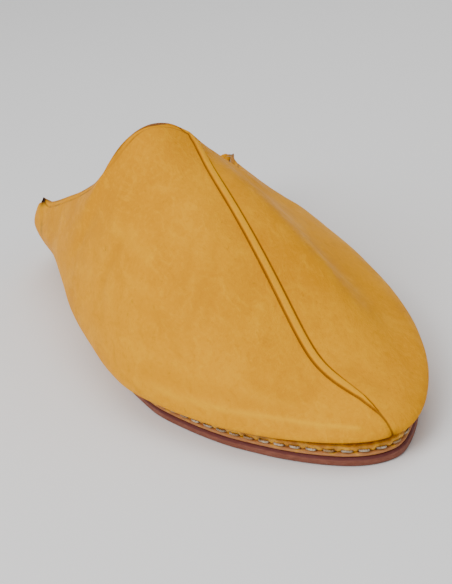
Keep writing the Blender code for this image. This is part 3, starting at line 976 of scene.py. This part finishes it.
def placed_sum(points, places):
    """The strongest of several soft round marks at each point."""
    total = np.zeros(len(points))
    for middle, reach, strength in places:
        gap = np.linalg.norm(points - np.array(middle) * MM, axis=1)
        total = np.maximum(total, strength * bump(gap, reach * MM))
    return total


def welded(fine, throat):
    """The grid's points and their numbers. The two sides share their top row along the seam."""
    ribs, rows = fine.shape[:2]
    index = np.zeros((ribs, rows), int)
    points = []
    for i in range(ribs):
        for j in range(rows):
            if j == rows - 1 and ribs // 2 < i <= ribs - throat:
                index[i, j] = index[ribs - i, j]
                continue
            index[i, j] = len(points)
            points.append(fine[i, j])
    return np.array(points), index


def wall_directions(points, quads, collar):
    """Directions out of the wall."""
    one, two, three, four = (points[quads[:, corner]] for corner in range(4))
    normals = smooth_normals(len(points), quads, np.cross(three - one, four - two))
    # Close to the throat's edge the grid rolls over more tightly than the wall is thick, so the
    # wall's direction there is taken from the middle of the foot instead.
    from_middle = points - np.array((0.0, 0.0, FOOT_MIDDLE))
    from_middle[:, 0] = -THROAT_LEAN * np.hypot(from_middle[:, 1], from_middle[:, 2])
    share = smooth_step(collar, *THROAT_REACH) * smooth_step(points[:, 2], *THROAT_RISE)
    share = share[:, None]
    return unit(normals * (1.0 - share) + unit(from_middle) * share)


def creased(points):
    """How far swells, wrinkles and creases move each point, and where the ridges and troughs are, for a
    painted highlight along the ridges and painted shade along the troughs.
    """
    lift = SWELL_HEIGHT * rolling(points, SWELL_SIZE, 3.0)
    lift += WRINKLE_HEIGHT * rolling(points, WRINKLE_SIZE, 8.0)
    ridge_highlight = np.zeros(len(points))
    crease_shade = np.zeros(len(points))
    for half_width, rise, line in CREASES:
        along_it = bump(distance_to_line(points, np.array(line, float) * MM), half_width * MM)
        lift += rise * MM * along_it
        if rise > 0:
            ridge_highlight = np.maximum(ridge_highlight, along_it * min(1.0, FIRM_RIDGE / half_width))
        else:
            crease_shade = np.maximum(crease_shade, along_it)
    return lift, ridge_highlight, crease_shade


def wall_faces(index, quads, throat, below):
    """Faces of the outer side, the lining and the cut edges, and the material number of each."""
    faces = [tuple(q) for q in quads.tolist()]
    faces += [tuple(c + below for c in reversed(q)) for q in quads.tolist()]
    kinds = [0] * len(quads) + [1] * len(quads)
    ribs = len(index)
    for i in range(ribs):
        k = (i + 1) % ribs
        a, b = int(index[i, 0]), int(index[k, 0])
        faces.append((b, a, a + below, b + below))
        kinds.append(2)
        if i < throat or i >= ribs - throat:
            a, b = int(index[i, -1]), int(index[k, -1])
            faces.append((a, b, b + below, a + below))
            kinds.append(2)
    return faces, kinds


def build_upper(shift):
    """The upper with its creases, raised seam, grooves and lining."""
    fine, throat = upper_grid()
    fine = fine + shift
    ribs = len(fine)
    toe = ribs // 2
    points, index = welded(fine, throat)
    ears = placed_sum(points, EAR_TIPS)
    points[:, 2] -= EAR_SINK * ears
    after = np.roll(index, -1, axis=0)
    quads = np.stack([index[:, :-1], after[:, :-1], after[:, 1:], index[:, 1:]], axis=-1)
    quads = quads.reshape(-1, 4)
    collar_line = [fine[k % ribs, -1] for k in range(ribs - throat, ribs + throat + 1)]
    collar = distance_to_line(points, collar_line)
    normals = wall_directions(points, quads, collar)

    seam_line = [fine[k, -1] for k in range(throat, toe + 1)]
    seam_line += list(fine[toe, ::-1])
    seam = distance_to_line(points, seam_line)
    seam += SEAM_GROOVE * smooth_step(points[:, 2], SEAM_CLOSES_FROM, SEAM_CLOSED_AT)
    height = points[:, 2] - (feather_height() + GAP)
    lift, ridge_highlight, crease_shade = creased(points)
    lift *= smooth_step(height, 0.0, FOOT_FADE) * smooth_step(seam, *SEAM_FADE)

    crown = smooth_step(seam, SEAM_GROOVE, SEAM_CROWN) * smooth_step(collar, 0.0, THROAT_FADE)
    groove = bump(seam - SEAM_GROOVE, SEAM_GROOVE_WIDTH)
    hem = bump(collar - COLLAR_LINE, COLLAR_LINE_WIDTH)
    relief = SEAM_HEIGHT * crown - SEAM_GROOVE_DEPTH * groove - COLLAR_LINE_DEPTH * hem
    outer = points + normals * (lift + relief)[:, None]
    wall = UPPER_WALL * (1.0 - EAR_THINNING * ears)
    inner = points + normals * (lift - wall)[:, None]
    floats = {
        "seam": seam / MM,
        "collar": collar / MM,
        "feather": height / MM + FEATHER_CLEAN * (collar < COLLAR_CLEAR),
        "ridge_highlight": ridge_highlight,
        "crease_shade": crease_shade,
        "darkened": placed_sum(points, DARKENED),
        "stain": placed_sum(points, STAINS),
    }
    floats = {key: np.concatenate([values, values]) for key, values in floats.items()}
    faces, kinds = wall_faces(index, quads, throat, len(points))
    vertices = np.concatenate([outer, inner])
    materials = [ochre_leather(), lining_leather(), cut_edge_leather()]
    obj = mesh_object("upper_leather", vertices, faces, materials, kinds, floats)
    finish_piece(obj, "upper")


def even_loop():
    """Points evenly spaced round the sole, the directions out of it, their places and its length."""
    points, _ = outline_loop(RAND_POINTS)
    closed = np.array(points + points[:1])
    run = np.concatenate([[0.0], np.cumsum(np.linalg.norm(np.diff(closed, axis=0), axis=1))])
    marks = np.linspace(0.0, run[-1], RAND_POINTS, endpoint=False)
    even = np.stack([np.interp(marks, run, closed[:, c]) for c in range(2)], axis=1)
    return even, np.array(outward(even)), marks, run[-1]


def stitch_places(length):
    """Where each stitch's middle is round the sole, with a hand's unevenness."""
    count = round(length / STITCH_PITCH)
    middles = (np.arange(count) + 0.5) * length / count
    jitter = np.array([noise_at(0.37 * k, 1.7, 4.2) for k in range(count)])
    return middles + jitter * STITCH_WANDER, jitter


def ring_gap(places, middles, length):
    """Signed distance round the ring to the nearest of the middles."""
    gap = (places[:, None] - middles[None, :] + length / 2) % length - length / 2
    nearest = np.abs(gap).argmin(axis=1)
    return gap[np.arange(len(places)), nearest]


def build_rand(shift):
    """The rand, pulled in at each stitch hole and puckered between them."""
    low = OUTSOLE_THICK + MIDSOLE_THICK + 2 * GAP
    top = low + RAND_THICK
    loop, directions, marks, length = even_loop()
    middles, _ = stitch_places(length)
    holes = np.concatenate([middles - STITCH_LENGTH / 2, middles + STITCH_LENGTH / 2]) % length
    from_hole = np.abs(ring_gap(marks, holes, length))
    pinch = bump(from_hole, PINCH_REACH)
    ruffle = np.array([noise_at(x / RUFFLE_SIZE, y / RUFFLE_SIZE, 2.0) for x, y in loop])
    toe_share = smooth_step(loop[:, 0], *RUFFLE_TOE)
    # height share, inset, how much pinch and ruffle move this corner
    section = (
        (0.00, 0.0017, 0.4, 0.0),
        (0.06, 0.0011, 1.0, 0.2),
        (0.20, 0.0008, 1.0, 0.5),
        (0.38, 0.0006, 0.8, 0.9),
        (0.56, 0.0005, 0.5, 1.0),
        (0.74, 0.0007, 0.3, 1.0),
        (0.89, 0.0011, 0.2, 0.8),
        (0.97, 0.0018, 0.1, 0.5),
        (1.00, 0.0030, 0.0, 0.2),
        (1.00, RAND_INSET + RAND_WIDTH, 0.0, 0.0),
        (0.00, RAND_INSET + RAND_WIDTH, 0.0, 0.0),
    )
    vertices = []
    hole = []
    pleat_shade = []
    for share, inset, pinched, ruffled in section:
        swell = ruffle * ruffled * (RUFFLE_DEPTH + RUFFLE_DEPTH_AT_TOE * toe_share)
        depth = inset + PINCH_DEPTH * pinch * pinched - swell
        plan = loop - directions * depth[:, None]
        tall = low + (top - low) * share + RUFFLE_RISE * ruffle * ruffled * (share < 1.0)
        vertices.append(np.column_stack([plan, tall]))
        # Painted shade inside the stitch holes
        near_hole = bump(np.hypot(from_hole, (share - HOLE_HEIGHT) * RAND_THICK), HOLE_REACH)
        hole.append(near_hole * (inset < RAND_OUTER))
        # Painted shade where the pucker pulls in, and along the rand's foot
        pleat_shade.append(np.clip(-1.6 * ruffle, 0.0, 1.0) * ruffled + 0.5 * bump(share, 0.1))
    vertices = np.concatenate(vertices) + shift
    faces = []
    for corner in range(len(section)):
        following = (corner + 1) % len(section)
        faces += band(corner * RAND_POINTS, following * RAND_POINTS, RAND_POINTS)
    floats = {"hole": np.concatenate(hole), "pleat_shade": np.clip(np.concatenate(pleat_shade), 0, 1)}
    obj = mesh_object("rand_strip", vertices, faces, [rand_leather()], floats=floats)
    finish_piece(obj, "rand")


def build_stitches(shift):
    """The pale running stitch along the foot of the rand, one short tube a stitch."""
    base = OUTSOLE_THICK + MIDSOLE_THICK + 2 * GAP
    loop, directions, marks, length = even_loop()
    middles, jitter = stitch_places(length)
    # along the stitch, height above the midsole, inset
    path = (
        (-0.53, 0.0003, 0.0026),
        (-0.50, 0.0006, 0.0013),
        (-0.40, 0.0008, 0.0005),
        (-0.20, 0.0009, 0.0002),
        (0.00, 0.0009, 0.0001),
        (0.20, 0.0008, 0.0002),
        (0.40, 0.0006, 0.0005),
        (0.50, 0.0005, 0.0013),
        (0.53, 0.0002, 0.0026),
    )
    vertices = []
    faces = []
    twist = []
    grime = []
    for number, (middle, wobble) in enumerate(zip(middles, jitter)):
        dirty = 0.62 + 1.1 * noise_at(0.83 * number, 6.1, 0.4)
        reach = STITCH_LENGTH * (1.0 + 0.25 * wobble)
        line = []
        for share, tall, inset in path:
            place_on = (middle + share * reach) % length
            at, out = (
                np.array([np.interp(place_on, marks, column, period=length) for column in rows.T])
                for rows in (loop, directions)
            )
            plan = at - out / np.linalg.norm(out) * inset
            line.append(np.array([*plan, base + tall + STITCH_SLANT * wobble * share]))
        line = refine(np.array(line), np.ones((len(line) - 1, 1)), 2, False)
        start = len(vertices)
        runs = np.gradient(line, axis=0)
        for k, (p, run) in enumerate(zip(line, runs)):
            run = run / np.linalg.norm(run)
            flat = np.cross(run, (0.0, 0.0, 1.0))
            flat = flat / np.linalg.norm(flat)
            upright = np.cross(flat, run)
            for c in range(THREAD_SIDES):
                angle = 2 * math.pi * c / THREAD_SIDES
                ring = flat * math.cos(angle) * THREAD_FLATNESS + upright * math.sin(angle)
                vertices.append(p + ring * THREAD_RADIUS)
                twist.append(k * TWIST_PER_RING + c / THREAD_SIDES)
                grime.append(min(max(dirty - 0.35 * smooth_step(p[0], 0.04, 0.09), 0.0), 0.9))
        last = start + (len(line) - 1) * THREAD_SIDES
        for ring_at in range(start, last, THREAD_SIDES):
            faces += band(ring_at, ring_at + THREAD_SIDES, THREAD_SIDES)
        faces.append(tuple(start + c for c in reversed(range(THREAD_SIDES))))
        faces.append(tuple(last + c for c in range(THREAD_SIDES)))
    vertices = np.array(vertices) + shift
    floats = {"twist": twist, "grime": grime}
    obj = mesh_object("rand_stitching", vertices, faces, [waxed_thread()], floats=floats)
    finish_piece(obj)


def close_loop(vertices, base, count, up):
    """Grid faces that close a loop from side to side. Their inner points join the vertices."""
    columns = []
    for i in range(count // 2 + 1):
        near = base + i
        far = base + (count - i) % count
        if near == far:
            columns.append([near])
            continue
        column = [near]
        for k in range(1, SLAB_ACROSS):
            t = (1 - math.cos(math.pi * k / SLAB_ACROSS)) / 2
            p = np.array(vertices[near]) * (1 - t) + np.array(vertices[far]) * t
            vertices.append(tuple(p))
            column.append(len(vertices) - 1)
        column.append(far)
        columns.append(column)
    faces = []
    for one, two in zip(columns, columns[1:]):
        for k in range(SLAB_ACROSS):
            a, b = one[min(k, len(one) - 1)], one[min(k + 1, len(one) - 1)]
            c, d = two[min(k + 1, len(two) - 1)], two[min(k, len(two) - 1)]
            ring = []
            for v in (a, b, c, d):
                if v not in ring:
                    ring.append(v)
            faces.append(tuple(reversed(ring)) if up else tuple(ring))
    return faces


def slab(name, levels, material, shift, waviness, dish=None):
    """A sole layer with a finely rounded edge and gridded faces. levels: height, inset."""
    points, directions = outline_loop(SLAB_POINTS)
    loop = np.array(points)
    directions = np.array(directions)
    wave = np.array([noise_at(x / EDGE_WAVE_SIZE, y / EDGE_WAVE_SIZE, 7.0) for x, y in loop])
    vertices = []
    for height, inset in levels:
        plan = loop - directions * (inset - waviness * wave)[:, None]
        vertices += [(x, y, height) for x, y in plan]
    last = (len(levels) - 1) * SLAB_POINTS
    faces = []
    for a in range(0, last, SLAB_POINTS):
        faces += band(a, a + SLAB_POINTS, SLAB_POINTS)
    faces += close_loop(vertices, 0, SLAB_POINTS, False)
    faces += close_loop(vertices, last, SLAB_POINTS, True)
    vertices = np.array(vertices) + shift
    floats = None
    if dish is not None:
        pressed = dish(vertices)
        high = vertices[:, 2] > levels[-1][0] - SAME
        from_edge = distance_to_line(vertices[:, :2], np.vstack([loop, loop[:1]]) + shift[:2])
        bowl = smooth_step(from_edge - INSOLE_INSET, *INSOLE_BOWL)
        vertices[high, 2] -= INSOLE_DISH * (0.5 * bowl + 0.5 * pressed * bowl)[high]
        floats = {"pressed": pressed}
    return mesh_object(name, vertices, faces, [material], floats=floats)


def foot_press(points):
    """How hard a foot has pressed the insole: most under the heel and the ball."""
    pressed = np.zeros(len(points))
    for x, y, half_length, half_width, strength in PRESSES:
        gap = np.hypot((points[:, 0] - x) / half_length, (points[:, 1] - y) / half_width)
        pressed = np.maximum(pressed, strength * bump(gap, 1.0))
    return pressed


def build_sole(shift):
    """The outsole, midsole and insole."""
    top = OUTSOLE_THICK
    outsole = slab(
        "outsole_leather",
        (
            (0.0, 0.0014),
            (0.00012, 0.0008),
            (0.0005, 0.0003),
            (0.0012, 0.0001),
            (0.0020, 0.00015),
            (0.0027, 0.0001),
            (0.0032, 0.0002),
            (top - 0.0001, 0.0006),
            (top, 0.0012),
        ),
        red_leather(),
        shift,
        OUTSOLE_WAVE,
    )
    finish_piece(outsole, "outsole")
    low = top + GAP / 2
    high = top + GAP + MIDSOLE_THICK
    midsole = slab(
        "midsole_leather",
        (
            (low, 0.0012),
            (low + 0.0002, 0.0006),
            (low + 0.0006, MIDSOLE_INSET),
            (high - 0.0004, MIDSOLE_INSET + 0.0001),
            (high - 0.0001, 0.0008),
            (high, 0.0015),
        ),
        tan_leather(),
        shift,
        MIDSOLE_WAVE,
    )
    finish_piece(midsole, "midsole")
    low = high + GAP
    over_rand = feather_height() + OVER_RAND
    inset = RAND_INSET + RAND_WIDTH + GAP
    insole = slab(
        "insole_leather",
        (
            (low, inset),
            (over_rand, inset),
            (over_rand, INSOLE_INSET + 0.0002),
            (over_rand + 0.00012, INSOLE_INSET),
            (over_rand + 0.0002, INSOLE_INSET + 0.0003),
        ),
        pale_leather(),
        shift,
        0.0,
        foot_press,
    )
    finish_piece(insole, "insole")


# Stage, light and camera

# The photograph's camera, fitted to the slipper, in the part's frame
EYE = Vector((0.5000, -0.1719, 0.2656))
PHOTO_UP = Vector((-0.3586, 0.3269, 0.8744))
AIM = Vector((0.0578, -0.0134, 0.0425))
LENS = 110.0
FLOOR_HALF = 3.0
LIGHTS = (
    # name, place, aim, size, power
    ("key_softbox", (0.35, -0.95, 0.95), (0.02, 0.0, 0.03), 0.9, 13.0),
    ("top_softbox", (0.0, 0.1, 1.3), (0.0, 0.0, 0.0), 1.1, 6.0),
    ("fill_softbox", (0.9, 0.9, 0.7), (0.02, 0.0, 0.03), 1.0, 1.5),
)


def build_stage():
    """A wide pale floor under an even white sky."""
    half = FLOOR_HALF
    corners = [(-half, -half, 0.0), (half, -half, 0.0), (half, half, 0.0), (-half, half, 0.0)]
    floor = mesh_object("studio_floor", corners, [(0, 1, 2, 3)], [pale_floor()])
    world = bpy.data.worlds.new("studio")
    bpy.context.scene.world = world
    world.use_nodes = True
    sky = world.node_tree.nodes["Background"]
    sky.inputs["Color"].default_value = (1.0, 1.0, 1.0, 1.0)
    sky.inputs["Strength"].default_value = 0.55


def add_light(name, place_at, aim, size, power):
    """A square soft box that faces its aim."""
    data = bpy.data.lights.new(name, "AREA")
    data.size = size
    data.energy = power
    obj = bpy.data.objects.new(name, data)
    bpy.context.scene.collection.objects.link(obj)
    obj.location = place_at
    obj.rotation_euler = (Vector(aim) - Vector(place_at)).to_track_quat("-Z", "Y").to_euler()


def build_camera():
    """The photograph's place and tilt, turned to the one slipper with a longer lens."""
    data = bpy.data.cameras.new("photo_camera")
    data.sensor_width = 36.0
    data.sensor_fit = "HORIZONTAL"
    data.lens = LENS
    data.clip_start = 0.01
    obj = bpy.data.objects.new("photo_camera", data)
    bpy.context.scene.collection.objects.link(obj)
    back = (EYE - AIM).normalized()
    right = PHOTO_UP.cross(back).normalized()
    up = back.cross(right)
    obj.matrix_world = Matrix.Translation(EYE) @ Matrix((right, up, back)).transposed().to_4x4()
    bpy.context.scene.camera = obj


def main():
    shift = part_shift()
    build_upper(shift)
    build_rand(shift)
    build_stitches(shift)
    build_sole(shift)
    build_stage()
    for light in LIGHTS:
        add_light(*light)
    build_camera()


main()
